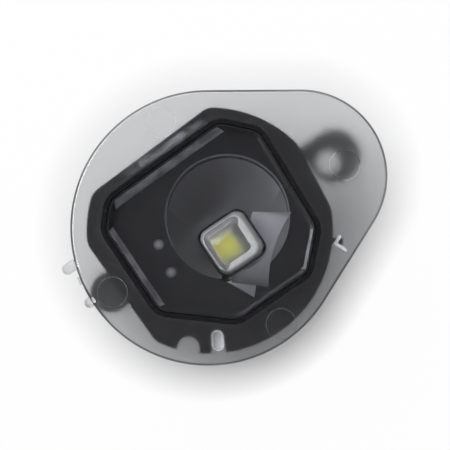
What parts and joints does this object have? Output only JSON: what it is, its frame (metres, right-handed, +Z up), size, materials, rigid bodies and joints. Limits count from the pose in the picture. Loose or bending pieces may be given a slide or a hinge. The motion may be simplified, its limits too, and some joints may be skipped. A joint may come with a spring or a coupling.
{
  "type": "puddle light",
  "caption": "egg-shaped puddle light with a smoked clear lens plate welded on a black cup, a yellow light source under a clear optic, a fixing ear and a connector socket behind",
  "frame": {"origin": "centre of the connector socket's mouth, on the axis of the lens's round lobe, in the plane that the lamp rests on", "axes": "+Z up out of the lens, along the axis of the connector; +X along the lens from its round lobe towards its narrow end"},
  "size_m": [0.0539, 0.044, 0.0245],
  "materials": {
    "smoked_clear": "smoked clear polycarbonate, border finely frosted on its back",
    "black_moulding": "fine grain moulded",
    "black_gloss": "polished tool surface",
    "clear_optic": "water clear",
    "board_black": "black solder mask",
    "package_white": "white moulding compound",
    "phosphor_yellow": "phosphor layer, unlit",
    "tin": "solder",
    "tin_brass": "tinned brass",
    "screw_steel": "zinc plated",
    "chip_black": "coated ceramic",
    "diode_black": "moulding compound",
    "chip_tan": "ceramic",
    "membrane_white": "porous film"
  },
  "bodies": {
    "root": {"lens_cover": "smoked_clear", "lamp_housing": "black_moulding", "inner_bezel": "black_gloss", "led_optic": "clear_optic", "circuit_board": "board_black", "led_package": "package_white", "led_phosphor": "phosphor_yellow", "led_solder": "tin", "terminal_positive": "tin_brass", "terminal_negative": "tin_brass", "terminal_solder": "tin", "board_screws": "screw_steel", "resistor_1": "chip_black", "resistor_2": "chip_black", "resistor_3": "chip_black", "reverse_diode": "diode_black", "surge_diode": "diode_black", "input_capacitor": "chip_tan", "led_capacitor": "chip_tan", "vent_membrane": "membrane_white"}
  },
  "joints": []
}
